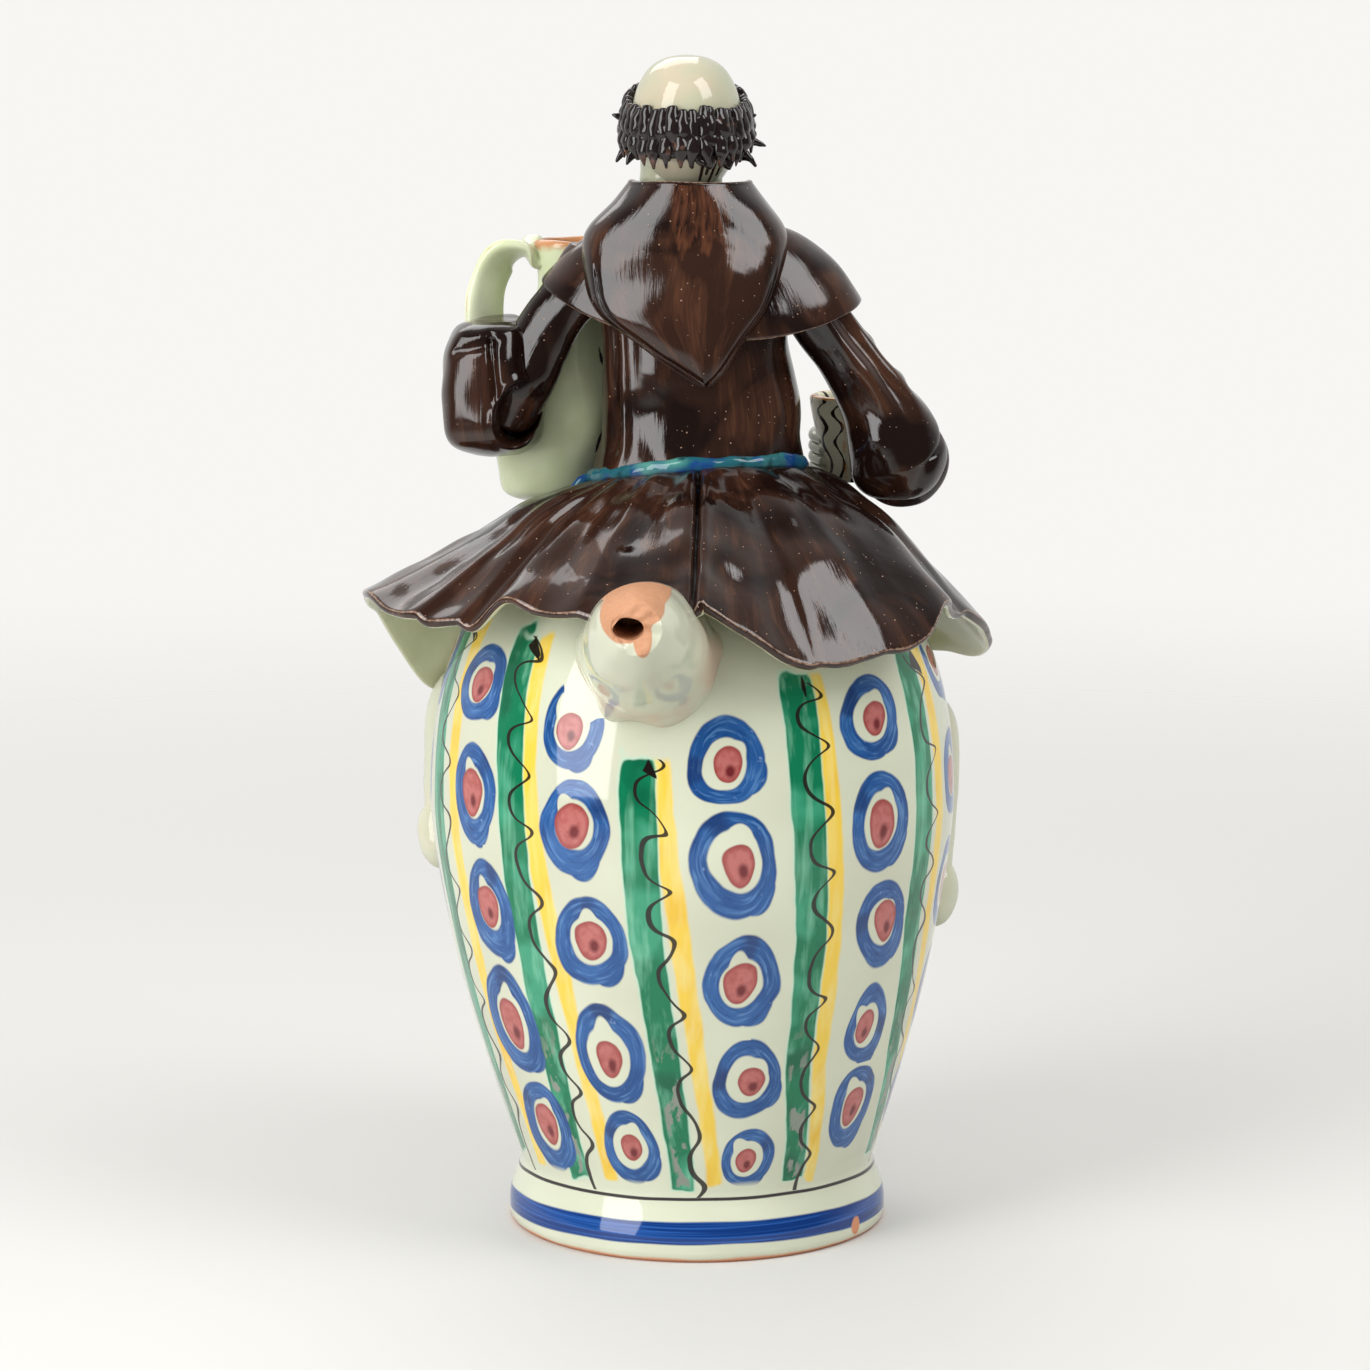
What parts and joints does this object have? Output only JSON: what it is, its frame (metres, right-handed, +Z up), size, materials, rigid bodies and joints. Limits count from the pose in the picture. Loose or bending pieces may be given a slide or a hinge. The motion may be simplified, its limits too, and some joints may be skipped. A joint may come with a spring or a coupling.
{
  "type": "figural ceramic vase",
  "caption": "Tin-glazed figural vase: a seated friar with jug and cup astride an ovoid painted jar, hollow, with a spout on its back shoulder.",
  "frame": {"origin": "centre of the flat underside of the jar's foot", "axes": "+Z up, the figure faces -Y and its left hand is towards +X; the spout is at +Y"},
  "size_m": [0.19, 0.1944, 0.35],
  "materials": {
    "glaze": "glossy cream tin glaze with blue, green, yellow and red brushwork, dark brown glaze on the habit"
  },
  "bodies": {
    "root": {"friar_vase": "glaze"}
  },
  "joints": []
}
